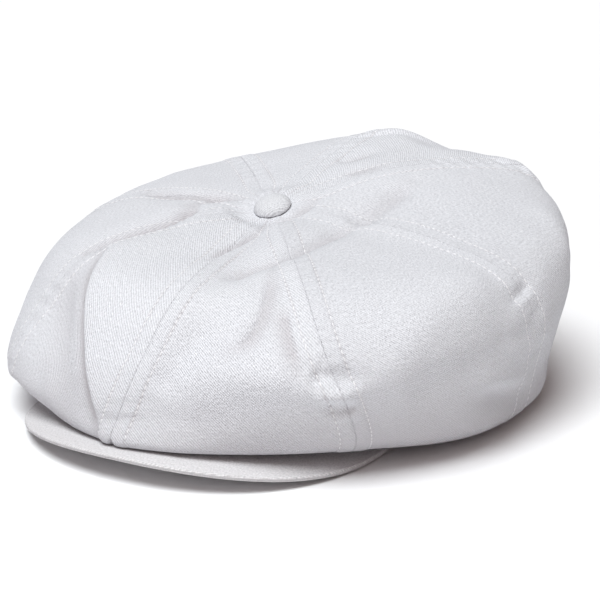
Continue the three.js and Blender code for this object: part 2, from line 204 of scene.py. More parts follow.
# The panels: the seam each starts at, and how many columns and rows of cloth it is made of
PANELS = {
    "front_left":  (0, 124, 220),
    "left_front":  (1, 124, 220),
    "left_back":   (2, 104, 190),
    "back_left":   (3, 104, 190),
    "back_right":  (4, 80, 150),
    "right_back":  (5, 80, 150),
    "right_front": (6, 90, 180),
    "front_right": (7, 144, 220),
}

# Folds of the crown. around counts seams from the front seam, and down counts levels: 0 button,
# 1 halfway to the rim, 2 rim, 3 side, 4 tuck, 5 hem, 6 sweatband. Each fold runs through three
# places. Looking along it from outside, left and right are its half widths on either hand, and
# depth is its depth, below zero for a valley.
FOLDS = {
    "right_brow_edge":       ((7.15, 7.68, 7.95), (1.8, 3.1, 4.6), 22, 5.5, 4.5),
    "right_brow_hollow":     ((7, 7.42, 7.8), (2.3, 3.1, 4.3), 10, 16, -2),
    "right_brow_tuck":       ((7, 7.25, 7.5), (3.9, 3.85, 3.75), 12, 12, -2),
    "front_diagonal_lower":  ((0.3, 0.2, 0.12), (2.3, 2.9, 3.55), 9, 7, -2.8),
    "front_diagonal_upper":  ((0.24, 0.55, 0.9), (1.72, 1.4, 1.3), 10, 6, -2.6),
    "front_diagonal_middle": ((0.85, 1.3, 2), (1.32, 1.02, 0.8), 9, 7, -3.4),
    "front_diagonal_left":   ((1.9, 2.3, 2.68), (0.82, 0.88, 1.03), 11, 8, -3.2),
    "front_panel_curve":     ((0.77, 0.68, 0.5), (1.5, 2.3, 2.7), 12, 5, -1.8),
    "front_low_roll":        ((0.42, 0.66, 0.86), (3, 2.95, 3), 10, 10, 1),
    "front_low_hollow":      ((0.42, 0.66, 0.86), (3.6, 3.55, 3.6), 10, 10, -1),
    "front_left_pucker":     ((0.9, 0.99, 1.12), (2.95, 3.08, 3.08), 6, 6, -3.4),
    "left_side_edge":        ((1.26, 1.6, 1.94), (2.84, 2.35, 2.12), 14, 12, 2.5),
    "left_low_hollow":       ((1.2, 1.55, 1.9), (3.5, 3.3, 2.95), 16, 14, -4),
    "left_side_roll":        ((1.57, 1.74, 1.95), (3.6, 3.77, 4), 6, 6, 2),
    "left_side_tuck":        ((1.57, 1.76, 1.98), (3.85, 4.05, 4.3), 7, 7, -2),
    "left_back_edge":        ((2.6, 2.46, 2.38), (1.9, 2.3, 2.9), 10, 10, 1.5),
    "button_crease_front":   ((-0.05, 0.2, 0.46), (1.2, 0.75, 0.46), 8, 5, -1),
    "button_crease_right":   ((6.97, 6.95, 6.45), (1.97, 1.05, 0.78), 9, 5, -2.2),
    "button_crease_back":    ((5.96, 6.1, 5.85), (1.6, 0.9, 0.42), 6, 6, -1.8),
    "back_crease":           ((3.72, 3.63, 3.58), (0.9, 1.05, 1.3), 8, 8, -2),
    "back_left_puff":        ((3.72, 3.8, 3.88), (1.7, 1.85, 2), 16, 16, 4),
    "back_left_hollow":      ((3.5, 3.45, 3.4), (1.5, 1.95, 2.3), 15, 15, -4.5),
    "left_back_shoulder":    ((2.98, 3.05, 3.1), (1.85, 2, 2.15), 14, 14, 3.5),
    "back_slump":            ((4.4, 4.9, 5.3), (2.6, 2.9, 2.7), 12, 12, -3),
    "right_slump":           ((5.7, 6.1, 6.6), (3.4, 3.2, 3.5), 12, 12, -3),
    "right_back_valley":     ((5.6, 5.5, 5.45), (2, 2.8, 3.8), 10, 10, -3),
}

# Small soft folds, too narrow for the solids, in the same columns
WRINKLES = {
    "front_hem_roll":   ((0.02, 0.4, 0.8), (4.5, 4.55, 4.55), 6, 5, -0.7),
    "front_left_crest": ((0.95, 1, 1.06), (3.78, 3.8, 3.78), 3, 3, 0.8),
    "front_left_roll":  ((0.88, 0.97, 1.06), (3.32, 3.37, 3.37), 5, 5, 2),
    "front_left_tuck":  ((0.91, 0.97, 1.05), (3.56, 3.62, 3.63), 4, 4, -2.2),
    "left_seam_pinch":  ((1.9, 1.99, 2.08), (2.6, 2.58, 2.54), 5, 5, -1.4),
    "left_seam_tuck":   ((1.8, 1.93, 2.02), (3.1, 3.2, 3.05), 5, 5, -1.8),
    "left_seam_fold":   ((1.95, 2, 2.04), (2.42, 2.42, 2.4), 3, 3, 0.8),
    "left_seam_crest":  ((1.9, 1.98, 2.06), (2.75, 2.72, 2.68), 3, 3, 0.8),
}

# Creases that move the cloth and darken its colour with painted shade, nearly all of them sharp lines,
# in the same columns
CREASES = {
    "right_brow_line":     ((7.11, 7.65, 7.92), (1.8, 3.1, 4.55), 1.8, 6, -2.4),
    # right_brow_shade is so shallow that it serves mostly as painted shade
    "right_brow_shade":    ((7, 7.42, 7.8), (2.1, 3.1, 4.3), 10, 18, -0.7),
    "front_diagonal_line": ((0.3, 0.6, 0.9), (1.62, 1.38, 1.29), 5, 2.2, -1.5),
    "front_middle_line":   ((0.95, 1.35, 1.9), (1.28, 1, 0.83), 5, 2.2, -1.3),
    "front_left_line":     ((1.9, 2.3, 2.68), (0.82, 0.88, 1.03), 7, 5, -0.9),
    "front_curve_line":    ((0.77, 0.68, 0.5), (1.5, 2.3, 2.7), 5, 2, -1.3),
    "front_notch":         ((0, 0, 0), (4.8, 4.95, 5.1), 1.2, 1.2, -4),
    "front_line":          ((0.85, 0.85, 0.86), (2.2, 2.5, 2.95), 2, 5, -1.5),
    "tip_front_line":      ((-0.05, 0.06, 0.46), (1.3, 0.87, 0.46), 2, 1.5, -1.6),
    "tip_under_button":    ((0.46, 1.4, 2.6), (0.46, 0.3, 0.36), 4, 1.5, -2.4),
    "right_long_line":     ((6.97, 6.95, 6.45), (1.97, 1.05, 0.78), 6, 2, -2.6),
    "right_short_line":    ((6.3, 6.17, 6.01), (0.81, 0.67, 0.54), 2.5, 4, -1.6),
    "back_right_line":     ((5.96, 6.1, 5.85), (1.6, 0.9, 0.42), 5, 2, -2.2),
    "back_line":           ((3.72, 3.63, 3.58), (0.94, 1.04, 1.16), 3, 5, -1),
    "back_left_line":      ((3.19, 3.14, 3.12), (0.65, 0.77, 0.91), 3, 5, -1),
}

# Puckers that the stitching draws across a seam: the seam, the levels from and to, the distance
# from crest to crest, the height, how far they reach from the seam and where the first crest is
PUCKER_COLUMNS = ["seam", "start", "end", "period", "height", "reach", "phase"]
PUCKERS = [
    (0, 3.4, 4.9, 9, 0.2, 9, 0.2),
    (0, 0.8, 3.2, 7, 0.14, 8, 0.0),
    (1, 1.2, 4.6, 6.5, 0.18, 8, 0.3),
    (2, 1.9, 4.2, 13, 0.3, 10, 0.4),
    (2, 0.8, 4.4, 6, 0.1, 8, 0.1),
    (3, 1.0, 4.2, 8, 0.3, 9, 0.5),
    (4, 0.7, 4.2, 7.5, 0.3, 9, 0.7),
    (5, 0.6, 4.2, 9, 0.35, 9, 0.2),
    (6, 0.6, 4.2, 8, 0.16, 9, 0.9),
    (7, 2.2, 4.4, 11, 0.32, 10, 0.1),
    (7, 0.6, 2.4, 6.5, 0.22, 8, 0.4),
]

# How fast puckers fade in and out, how they slant and how their spacing drifts along a seam
PUCKER_FADE = 3
PUCKER_SLANT = 0.2
PUCKER_DRIFT = 0.22
PUCKER_DRIFT_RATE = 0.09
PUCKER_SEAM_STEP = 2.1

# The middle of the crown, from which its cloth faces outward
CROWN_MIDDLE = np.array([CROWN_SHIFT[0], CROWN_SHIFT[1], 45])

# Small unevenness of the cloth: the size of each swell and its height
SWELLS = [(46, 1.1), (19, 0.4), (8, 0.1)]

# Points closer together than this are one where a grid closes on itself
WELD_DISTANCE = 0.01

# The photograph's view: degrees round from the front, degrees up, distance and the point aimed at
VIEW_AROUND = 30.2
VIEW_UP = 18.3
VIEW_DISTANCE = 1278
VIEW_AIM_RIGHT = 12
VIEW_AIM_UP = 44
PIXELS_PER_MM = 2.0
PHOTO_PIXELS = 600
SENSOR = 36


def smooth(t):
    u = np.clip(t, 0, 1)
    return u * u * (3 - 2 * u)


def through(a, b, c, d, t):
    """A smooth curve from b to c, with a and d the values before and after them."""
    linear = (c - a) * t
    square = (2 * a - 5 * b + 4 * c - d) * t * t
    cube = (3 * b - a - 3 * c + d) * t * t * t
    return 0.5 * (2 * b + linear + square + cube)


def around(s, column):
    """One column of the seam table at any place around the crown."""
    base = np.floor(s).astype(int)
    rows = [SEAMS[column][(base + step) % PANEL_COUNT] for step in (-1, 0, 1, 2)]
    return through(*rows, s - base)


def opening_radius(angle, inset=0):
    across = np.sin(angle) / (OPENING_HALF_WIDTH - inset)
    along = np.cos(angle) / (OPENING_HALF_LENGTH - inset)
    return 1 / np.hypot(across, along)


def brow_height(angle):
    return BROW_ARCH * np.maximum(np.cos(angle), 0) ** 2


def peak_underside(x):
    return PEAK_RISE * np.maximum(1 - (x / PEAK_HALF_WIDTH) ** 2, 0)


def signed_power(value, power):
    return np.sign(value) * np.abs(value) ** power


def crown_base(s, p):
    """The crown's smooth outer surface: s counts seams from the front, p counts levels down.

    Under the button the cloth lies flat against it.
    """
    s, p = np.broadcast_arrays(np.asarray(s, dtype=float), np.asarray(p, dtype=float))
    hem_share = smooth((p - HEM_TURN_FROM) / (HEM_LEVEL - HEM_TURN_FROM))
    turn = around(s, "turn") * (1 - hem_share) + around(s, "hem_turn") * hem_share
    angle = np.radians(360 / PANEL_COUNT * s + turn)
    opening = opening_radius(angle)
    foot = brow_height(angle) + REST_HEIGHT
    opposite = s + PANEL_COUNT / 2
    centre = np.zeros_like(s)
    radii = np.stack([
        -0.5 * around(opposite, "rim_r"), centre, 0.5 * around(s, "rim_r"), around(s, "rim_r"),
        around(s, "side_r"), around(s, "tuck_r"), around(s, "hem_r"),
        opening + GAP, opening - HEM_RUN_IN,
    ])
    heights = np.stack([
        around(opposite, "mid"), centre + CROWN_TOP, around(s, "mid"), around(s, "rim_z"),
        around(s, "side_z"), around(s, "tuck_z"), around(s, "hem_z"), foot, foot,
    ])
    i = np.clip(np.floor(p).astype(int), 0, LAST_LEVEL - 1)

    def along(levels):
        near = [np.take_along_axis(levels, (i + step)[None], 0)[0] for step in range(4)]
        return through(*near, p - i)

    across = np.sin(np.pi * (s - np.floor(s))) ** 2
    facing = np.interp(p, *FACING_UP)
    puff = SEAMS["puff"][np.floor(s).astype(int) % PANEL_COUNT] * across * np.interp(p, *FULLNESS)
    radius = along(radii) + puff * np.sqrt(1 - facing ** 2)
    height = along(heights) + puff * facing

    shift_share = 1 - smooth(p - HEM_LEVEL)
    tip_share = 1 - smooth(p / TIP_SHIFT_END)
    x = radius * np.sin(angle) + shift_share * CROWN_SHIFT[0] + tip_share * TIP_SHIFT[0]
    y = -radius * np.cos(angle) + shift_share * CROWN_SHIFT[1] + tip_share * TIP_SHIFT[1]

    ahead_x = x - CROWN_SHIFT[0] - TIP_SHIFT[0]
    ahead_y = y - CROWN_SHIFT[1] - TIP_SHIFT[1]
    slope = (ahead_x * BUTTON_FACING[0] + ahead_y * BUTTON_FACING[1]) / BUTTON_FACING[2]
    seat_share = 1 - smooth((p - SEAT_FLAT) / (SEAT_END - SEAT_FLAT))
    height = height + seat_share * (CROWN_TOP - slope - height)
    return np.stack([x, y, height], axis=-1)


def crown_normal(s, p):
    step = 0.02
    sideways = crown_base(s + step, p) - crown_base(s - step, p)
    downward = crown_base(s, np.minimum(p + step, LAST_LEVEL)) - crown_base(s, p - step)
    normal = np.cross(downward, sideways)
    return normal / np.linalg.norm(normal, axis=-1, keepdims=True)


def fold_path(row):
    """A fold as a short run of points on the smooth surface."""
    t = np.linspace(0, 1, FOLD_POINTS)
    weights = (2 * (t - 0.5) * (t - 1), -4 * t * (t - 1), 2 * t * (t - 0.5))
    s = sum(weight * place for weight, place in zip(weights, row[0]))
    p = sum(weight * place for weight, place in zip(weights, row[1]))
    return crown_base(s, p)


def fold_depth(points, table):
    """How deep the folds of a table are at points of the smooth surface."""
    depth = np.zeros(len(points))
    outward = points - CROWN_MIDDLE
    for row in table.values():
        path = fold_path(row)
        left_half, right_half, full_depth = row[2:]
        reach = FOLD_REACH * max(left_half, right_half)
        low = path.min(axis=0) - reach
        high = path.max(axis=0) + reach
        close = np.all((points > low) & (points < high), axis=1)
        if not close.any():
            continue
        near = points[close]
        distance = np.full(len(near), np.inf)
        place = np.zeros(len(near))
        hand = np.zeros(len(near))
        for i in range(len(path) - 1):
            step = path[i + 1] - path[i]
            t = np.clip((near - path[i]) @ step / (step @ step), 0, 1)
            offset = near - path[i] - t[:, None] * step
            gap = np.linalg.norm(offset, axis=1)
            closer = gap < distance
            distance[closer] = gap[closer]
            place[closer] = (i + t[closer]) / (len(path) - 1)
            leftward = np.cross(outward[close], step)
            size = np.linalg.norm(leftward, axis=1) * np.maximum(gap, 0.001)
            hand[closer] = ((offset * leftward).sum(axis=1) / size)[closer]
        half = right_half + (left_half - right_half) * smooth((1 + hand) / 2)
        fade = smooth(place * FOLD_FADE) * smooth((1 - place) * FOLD_FADE)
        share = FOLD_END_SHARE + (1 - FOLD_END_SHARE) * fade
        depth[close] += full_depth * share * np.exp(-((distance / half) ** 2))
    return depth


def swell(points):
    """Gentle unevenness of the cloth, the same on every run."""
    total = np.zeros(len(points))
    for size, height in SWELLS:
        values = [noise.noise(Vector(point) / size) for point in points.tolist()]
        total += height * np.array(values)
    return total


def arc_lengths(points, axis):
    """How far each point lies along its row or column of a grid."""
    steps = np.linalg.norm(np.diff(points, axis=axis), axis=-1)
    lengths = np.cumsum(steps, axis=axis)
    return np.insert(lengths, 0, 0, axis=axis)


def row_offset(width):
    """How far the stitch rows lie from the seam, less where the panel narrows to its tip."""
    return np.minimum(ROW_OFFSET, ROW_WIDTH_SHARE * width)


def seam_relief(distance, width, down):
    """The ditch, the raised allowance and the grooves of the stitch rows along a seam."""
    offset = row_offset(width)
    past_edge = (distance - offset + ALLOWANCE_EDGE) / ALLOWANCE_FADE
    allowance = ALLOWANCE_HEIGHT * (1 - smooth(past_edge))
    ditch = -DITCH_DEPTH * np.exp(-((distance / DITCH_HALF_WIDTH) ** 2))
    beat = 1 - GROOVE_BEAT + GROOVE_BEAT * np.cos(2 * np.pi * down / STITCH_PITCH)
    groove = -ROW_GROOVE * beat * np.exp(-(((distance - offset) / ROW_GROOVE_HALF_WIDTH) ** 2))
    return allowance + ditch + groove


def seam_shade(distance, width, down, seam):
    """Painted shade in the ditch and along the stitch rows, deepest at the needle holes."""
    ditch = DITCH_SHADE * np.exp(-((distance / DITCH_HALF_WIDTH) ** 2))
    holes = ROW_SHADE + HOLE_SHADE * (0.5 + 0.5 * np.cos(2 * np.pi * down / STITCH_PITCH))
    row = holes * np.exp(-(((distance - row_offset(width)) / ROW_SHADE_HALF_WIDTH) ** 2))
    drift = np.sin(down * SHADE_DRIFT_RATE + SHADE_SEAM_STEP * seam)
    return np.maximum(ditch, row) * (1 - SHADE_DRIFT + SHADE_DRIFT * drift)


def hem_shade(s, p):
    """Painted shade that darkens the cloth near the hem."""
    hem_darkness = np.interp(s, range(PANEL_COUNT + 1), PAINTED_HEM_SHADE + PAINTED_HEM_SHADE[:1])
    return hem_darkness * smooth((p - HEM_SHADE_START) / (HEM_SHADE_FULL - HEM_SHADE_START))


def pucker_relief(seam, p, distance, down, side):
    """The puckers across one seam, which slant away from it and are unevenly spaced."""
    total = np.zeros_like(p)
    for row in PUCKERS:
        values = dict(zip(PUCKER_COLUMNS, row))
        if values["seam"] != seam:
            continue
        fade_in = smooth((p - values["start"]) * PUCKER_FADE)
        fade_out = smooth((values["end"] - p) * PUCKER_FADE)
        drift = PUCKER_DRIFT * np.sin(down * PUCKER_DRIFT_RATE + PUCKER_SEAM_STEP * seam)
        slanted = down + PUCKER_SLANT * side * distance
        waves = slanted / values["period"] + drift + values["phase"]
        reach = np.exp(-((distance / values["reach"]) ** 2))
        total += values["height"] * np.cos(2 * np.pi * waves) * reach * fade_in * fade_out
    return total


# Levels of the crown and how much cloth lies between them, so that rows are evenly spaced
LEVELS = [PANEL_START, 1, 2, 3, TUCK_LEVEL, 4.5, HEM_LEVEL, 5.4, LAST_LEVEL]
LEVEL_SHARES = [0, 50, 106, 148, 176, 190, 208, 222, 236]

# How strongly the columns crowd toward the seams
COLUMN_CROWDING = 0.5


def panel_cloth(seam, columns, rows):
    """Places, normals and cloth sizes of a panel, as grids with the button at the last row."""
    across = np.linspace(0, 1, columns + 1)
    across = across - COLUMN_CROWDING * np.sin(2 * np.pi * across) / (2 * np.pi)
    shares = np.linspace(LEVEL_SHARES[-1], LEVEL_SHARES[0], rows + 1)
    levels = np.interp(shares, LEVEL_SHARES, LEVELS)
    place, p = np.meshgrid(across, levels, indexing="ij")
    s = seam + place
    base = crown_base(s, p)
    normal = crown_normal(s, p)
    left = arc_lengths(base, 0)
    width = np.broadcast_to(left[-1], left.shape)
    right = width - left
    down = arc_lengths(base[:, ::-1], 1)[:, ::-1]
    middle = down[columns // 2]
    down = np.broadcast_to(middle, down.shape)
    fade = smooth(p / FOLDS_FROM) * (1 - smooth((p - FOLDS_TO) / (FOLDS_END - FOLDS_TO)))

    flat = base.reshape(-1, 3)
    creases = fold_depth(flat, CREASES)
    relief = fold_depth(flat, FOLDS) + fold_depth(flat, WRINKLES) + creases + swell(flat)
    relief = relief.reshape(p.shape)
    for first, edge, distance, side in ((seam, 0, left, 1), (seam + 1, -1, right, -1)):
        along = arc_lengths(base[edge, ::-1], 0)[::-1]
        along = np.broadcast_to(along, p.shape)
        relief += pucker_relief(first % PANEL_COUNT, p, distance, along, side)
    nearest = np.minimum(left, right)
    nearest_seam = np.where(left < right, seam, seam + 1)
    seam_fade = 1 - smooth((p - HEM_LEVEL) / (SEAMS_END - HEM_LEVEL))
    seam_fade *= np.take(SEAM_PRESS, nearest_seam % PANEL_COUNT) * smooth(p / SEAMS_FROM)
    relief = relief * fade + seam_relief(nearest, width, down) * seam_fade

    # Painted shade for the cloth's colour: in the seams, in creases and toward the hem
    shade = seam_shade(nearest, width, down, nearest_seam) * seam_fade
    shade = np.maximum(shade, np.clip(-creases / FULL_SHADE_DEPTH, 0, 1).reshape(p.shape) * fade)
    shade = 1 - (1 - shade) * (1 - hem_shade(s, p))

    # Over the peak the cloth lies on it
    points = base + normal * relief[..., None]
    lowest = peak_underside(points[..., 0]) + PEAK_WALL + PEAK_CLEARANCE
    over_peak = (p > TUCK_LEVEL) & (points[..., 1] < PEAK_END_Y)
    points[..., 2] = np.where(over_peak, np.maximum(points[..., 2], lowest), points[..., 2])
    return {
        "points": points, "normal": normal, "left": left, "right": right,
        "width": width, "down": down, "level": p, "shade": shade,
    }


def finished_mesh(name, bm):
    mesh = bpy.data.meshes.new(name)
    bm.to_mesh(mesh)
    bm.free()
    return mesh


def new_object(name, mesh, material):
    """An object for a finished mesh in millimetres, placed in the frame and dressed."""
    mesh.transform(Matrix.Translation(Vector(AXIS)) @ Matrix.Scale(MM, 4))
    mesh.materials.append(material)
    mesh.polygons.foreach_set("use_smooth", [True] * len(mesh.polygons))
    mesh.update()
    piece = bpy.data.objects.new(name, mesh)
    bpy.context.collection.objects.link(piece)
    return piece


def grid_order(columns, rows):
    """Column and row of each vertex of a mesh grid, in the order that the grid is made."""
    index = np.arange((columns + 1) * (rows + 1))
    return index % (columns + 1), index // (columns + 1)


def grid_mesh(name, points, cloth_map, weld=False):
    """A mesh grid moved onto an array of points, with its cloth map in millimetres.

    A grid that runs round to its own start is welded there.
    """
    columns, rows = points.shape[0] - 1, points.shape[1] - 1
    bm = bmesh.new()
    bmesh.ops.create_grid(bm, x_segments=columns, y_segments=rows, size=0.5)
    mesh = finished_mesh(name, bm)
    places = grid_order(columns, rows)
    mesh.vertices.foreach_set("co", points[places].ravel())
    corners = np.empty(len(mesh.loops), dtype=np.int32)
    mesh.loops.foreach_get("vertex_index", corners)
    layer = mesh.uv_layers.new(name="cloth")
    layer.data.foreach_set("uv", cloth_map[places][corners].ravel())
    if weld:
        bm = bmesh.new()
        bm.from_mesh(mesh)
        bmesh.ops.remove_doubles(bm, verts=bm.verts, dist=WELD_DISTANCE)
        bmesh.ops.recalc_face_normals(bm, faces=bm.faces)
        bm.to_mesh(mesh)
        bm.free()
    return mesh


def add_thickness(piece, thickness):
    """A cloth wall on the inner side of the faces."""
    wall = piece.modifiers.new("cloth wall", "SOLIDIFY")
    wall.thickness = thickness * MM
    wall.offset = -1
    wall.use_even_offset = False


def place_stitch(bm, centre, along, outward):
    """One stitch of thread: a small rounded grain that lies along its row."""
    side = np.cross(outward, along)
    side = side / np.linalg.norm(side)
    up = np.cross(along, side)
    halves = [side * STITCH_WIDTH / 2, up * STITCH_HEIGHT / 2, along * STITCH_LENGTH / 2]
    turn = Matrix(np.stack(halves, axis=1).tolist())
    matrix = Matrix.Translation(Vector(centre)) @ turn.to_4x4()
    bmesh.ops.create_uvsphere(bm, u_segments=6, v_segments=5, radius=1, matrix=matrix)


def stitch_row(bm, places, normals, lengths, pitch=STITCH_PITCH, lift=THREAD_LIFT):
    """Stitches at an even pitch along a line of places, with the needle holes between them."""
    for k in range(math.ceil(lengths[0] / pitch), math.floor(lengths[-1] / pitch)):
        middle = (k + 0.5) * pitch
        ends = [middle - STITCH_SPAN / 2 * pitch, middle + STITCH_SPAN / 2 * pitch]
        start, end = (np.array([np.interp(x, lengths, places[:, c]) for c in range(3)]) for x in ends)
        outward = np.array([np.interp(middle, lengths, normals[:, c]) for c in range(3)])
        along = (end - start) / np.linalg.norm(end - start)
        place_stitch(bm, (start + end) / 2 + outward * lift, along, outward)


def row_along(cloth, side):
    """The line of a stitch row on one side of a panel, from the button to the hem.

    Its lengths are those of the panel's middle, so that the stitches fall between the holes.
    """
    distance = cloth["left"] if side == "left" else cloth["right"][::-1]
    points = cloth["points"] if side == "left" else cloth["points"][::-1]
    normals = cloth["normal"] if side == "left" else cloth["normal"][::-1]
    places, outwards, lengths = [], [], []
    for j in reversed(range(points.shape[1])):
        level = cloth["level"][0, j]
        if level < SEAMS_FROM or level > ROW_END:
            continue
        offset = row_offset(cloth["width"][0, j])
        places.append([np.interp(offset, distance[:, j], points[:, j, c]) for c in range(3)])
        outwards.append([np.interp(offset, distance[:, j], normals[:, j, c]) for c in range(3)])
        lengths.append(cloth["down"][0, j])
    return np.array(places), np.array(outwards), np.array(lengths)


def build_panel(name, seam, columns, rows):
    """One panel of the crown and the two rows of stitches along its seams."""
    cloth = panel_cloth(seam, columns, rows)
    cloth_map = np.stack([cloth["left"] - cloth["width"] / 2, cloth["down"]], axis=-1)
    mesh = grid_mesh("cloth_" + name, cloth["points"], cloth_map)
    # The painted shade of seams, creases and hem, kept on the mesh for the cloth's colour
    painted_shade = mesh.attributes.new("painted_shade", "FLOAT", "POINT")
    painted_shade.data.foreach_set("value", cloth["shade"][grid_order(columns, rows)])
    piece = new_object("cloth_" + name, mesh, crown_twill)
    add_thickness(piece, PANEL_CLOTH)
    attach(piece, "root")
    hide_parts("panel_" + name)

    bm = bmesh.new()
    for side in ("left", "right"):
        places, outwards, lengths = row_along(cloth, side)
        stitch_row(bm, places, outwards, lengths)
    stitches = new_object("stitches_" + name, finished_mesh("stitches_" + name, bm), thread)
    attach(stitches, "root")


def button_seat():
    """The middle of the crown under the button, the way the button faces and how high it sits."""
    centre = crown_base(0, 0)
    facing = np.array(BUTTON_FACING) / np.linalg.norm(BUTTON_FACING)
    lift = (crown_base(np.arange(0, PANEL_COUNT, 0.5), SEAT_FLAT) - centre) @ facing
    return centre, facing, max(lift.max(), 0)


def build_button():
    """The covered button: cloth drawn over a low dome and gathered at its rim."""
    centre, facing, lift = button_seat()
    bm = bmesh.new()
    bmesh.ops.create_uvsphere(bm, u_segments=96, v_segments=48, radius=1)
    for vertex in bm.verts:
        x, y, z = vertex.co
        ring = math.hypot(x, y)
        angle = math.atan2(y, x)
        waves = [size * math.sin(count * angle + phase) for count, size, phase in BUTTON_GATHERS]
        if z >= 0:
            fullness = ring ** DOME_SPREAD if ring > 0 else 0
            dome = (1 - fullness ** DOME_SQUARENESS) ** DOME_SHOULDER if fullness < 1 else 0
            height = BUTTON_DOME * dome + sum(waves) * smooth((ring - GATHERS_FROM) / (1 - GATHERS_FROM))
            radius = BUTTON_RADIUS * fullness
        else:
            ripple = RIM_RIPPLE * math.sin(BUTTON_GATHERS[0][0] * angle) * (1 - abs(z))
            height = -BUTTON_UNDER * (-z) ** UNDER_SHOULDER
            radius = BUTTON_RADIUS * ring ** 0.5 * (1 + ripple)
        if ring > 0:
            vertex.co = (x / ring * radius, y / ring * radius, height)
        else:
            vertex.co = (0, 0, height)
    bmesh.ops.recalc_face_normals(bm, faces=bm.faces)
    layer = bm.loops.layers.uv.new("cloth")
    for face in bm.faces:
        for loop in face.loops:
            loop[layer].uv = (loop.vert.co.x, loop.vert.co.y)
    bmesh.ops.create_cone(
        bm, cap_ends=True, segments=24, radius1=SHANK_RADIUS, radius2=SHANK_RADIUS,
        depth=SHANK_LENGTH, matrix=Matrix.Translation((0, 0, -SHANK_SINK)),
    )
    turn = Vector((0, 0, 1)).rotation_difference(Vector(facing)).to_matrix().to_4x4()
    seat = Vector(centre + facing * (lift + GAP + BUTTON_STAND))
    bmesh.ops.transform(bm, matrix=Matrix.Translation(seat) @ turn, verts=bm.verts)
    piece = new_object("covered_button", finished_mesh("covered_button", bm), button_twill)
    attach(piece, "root")
    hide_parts("button")


def build_peak():
    """The peak: cloth over a stiff sheet, folded round its front edge."""
    columns, rows = 220, 72
    sweep = np.radians(PEAK_END_ANGLE) * np.linspace(-1, 1, columns + 1)
    outer_x = PEAK_HALF_WIDTH * signed_power(np.sin(sweep), PEAK_ROUNDNESS)
    forward = (PEAK_REACH - PEAK_WIDEST_AT) * signed_power(np.cos(sweep), PEAK_ROUNDNESS)
    outer_y = -(PEAK_WIDEST_AT + forward)
    angle = np.arctan2(outer_x, -outer_y)
    inner_radius = opening_radius(angle, -GAP)
    inner_x = inner_radius * np.sin(angle)
    inner_y = -inner_radius * np.cos(angle)
    depth = np.hypot(outer_x - inner_x, outer_y - inner_y)

    turn = np.linspace(-1, 1, rows + 1)
    share = 1 - np.abs(turn) ** PEAK_ROW_CROWDING
    x = inner_x[:, None] + (outer_x - inner_x)[:, None] * share
    y = inner_y[:, None] + (outer_y - inner_y)[:, None] * share
    from_edge = depth[:, None] * (1 - share)
    round_edge = np.sqrt(1 - (1 - np.clip(from_edge / PEAK_EDGE_ROUND, 0, 1)) ** 2)
    half_wall = PEAK_WALL / 2 * round_edge
    middle = peak_underside(x) + PEAK_WALL / 2
    welt = WELT_DEPTH * np.exp(-(((from_edge - WELT_FROM_EDGE) / WELT_HALF_WIDTH) ** 2))
    z = middle + np.sign(turn) * (half_wall - welt)
    points = np.stack([x, y, z], axis=-1)
    cloth_map = np.stack([x, y * np.sign(turn)], axis=-1)
    mesh = grid_mesh("cloth_peak", points, cloth_map)
    bm = bmesh.new()
    bm.from_mesh(mesh)
    bmesh.ops.holes_fill(bm, edges=[edge for edge in bm.edges if edge.is_boundary], sides=0)
    bmesh.ops.recalc_face_normals(bm, faces=bm.faces)
    bm.to_mesh(mesh)
    bm.free()
    piece = new_object("cloth_peak", mesh, peak_twill)
    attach(piece, "root")
    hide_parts("peak")


def build_sweatband():
    """The sweatband: a folded band round the opening, stitched along its lower edge."""
    columns, rows = 288, 16
    angle = 2 * np.pi * np.linspace(0, 1, columns + 1)
    height = np.linspace(0, 1, rows + 1)
    radius = opening_radius(angle)[:, None] - BAND_BOW * np.sin(np.pi * height) ** 2
    wave = BAND_WAVE * np.sin(BAND_WAVES * angle)[:, None] * np.sin(np.pi * height)
    radius = radius - np.abs(wave)
    x = radius * np.sin(angle)[:, None]
    y = -radius * np.cos(angle)[:, None]
    z = brow_height(angle)[:, None] + BAND_HEIGHT * height
    points = np.stack([x, y, z], axis=-1)
    run = arc_lengths(points[:, :1], 0)
    cloth_map = np.stack([np.broadcast_to(run, x.shape), z], axis=-1)
    mesh = grid_mesh("cloth_sweatband", points, cloth_map, weld=True)
    piece = new_object("cloth_sweatband", mesh, band_cotton)
    add_thickness(piece, BAND_CLOTH)
    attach(piece, "root")
    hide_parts("sweatband")

    bm = bmesh.new()
    inner = opening_radius(angle, BAND_CLOTH + BAND_THREAD_CLEARANCE)
    row_height = brow_height(angle) + BAND_ROW_HEIGHT
    row = np.stack([inner * np.sin(angle), -inner * np.cos(angle), row_height], axis=-1)
    inward = np.stack([-np.sin(angle), np.cos(angle), np.zeros_like(angle)], axis=-1)
    stitch_row(bm, row, inward, arc_lengths(row, 0), BAND_STITCH_PITCH, BAND_THREAD_LIFT)
    stitches = new_object("stitches_sweatband", finished_mesh("stitches_sweatband", bm), thread)
    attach(stitches, "root")


# Materials

# The weave: how high its ribs and its uneven threads stand, how height turns into shade, and how
# strongly that shade and the painted shade of seams, creases and hem colour the cloth. WEAVE_DEPTH is in
# metres.
RIB_HEIGHT = 0.36
RIB_DRIFT_SCALE = 0.35
THREAD_SCALE = 1.5
THREAD_HEIGHT = 2.4
SHADE_PER_HEIGHT = 0.5
LEAST_SHADE = 0.32
WEAVE_SHADE = 0.6
PAINTED_SHADE_STRENGTH = 0.6
WEAVE_DEPTH = 0.00026


def new_group(name, inputs, outputs):
    """An empty node group with named values going in and out."""
    group = bpy.data.node_groups.new(name, "ShaderNodeTree")
    for socket_name, value in inputs.items():
        socket = group.interface.new_socket(socket_name, in_out="INPUT", socket_type="NodeSocketFloat")
        socket.default_value = value
    for socket_name in outputs:
        group.interface.new_socket(socket_name, in_out="OUTPUT", socket_type="NodeSocketFloat")
    return group


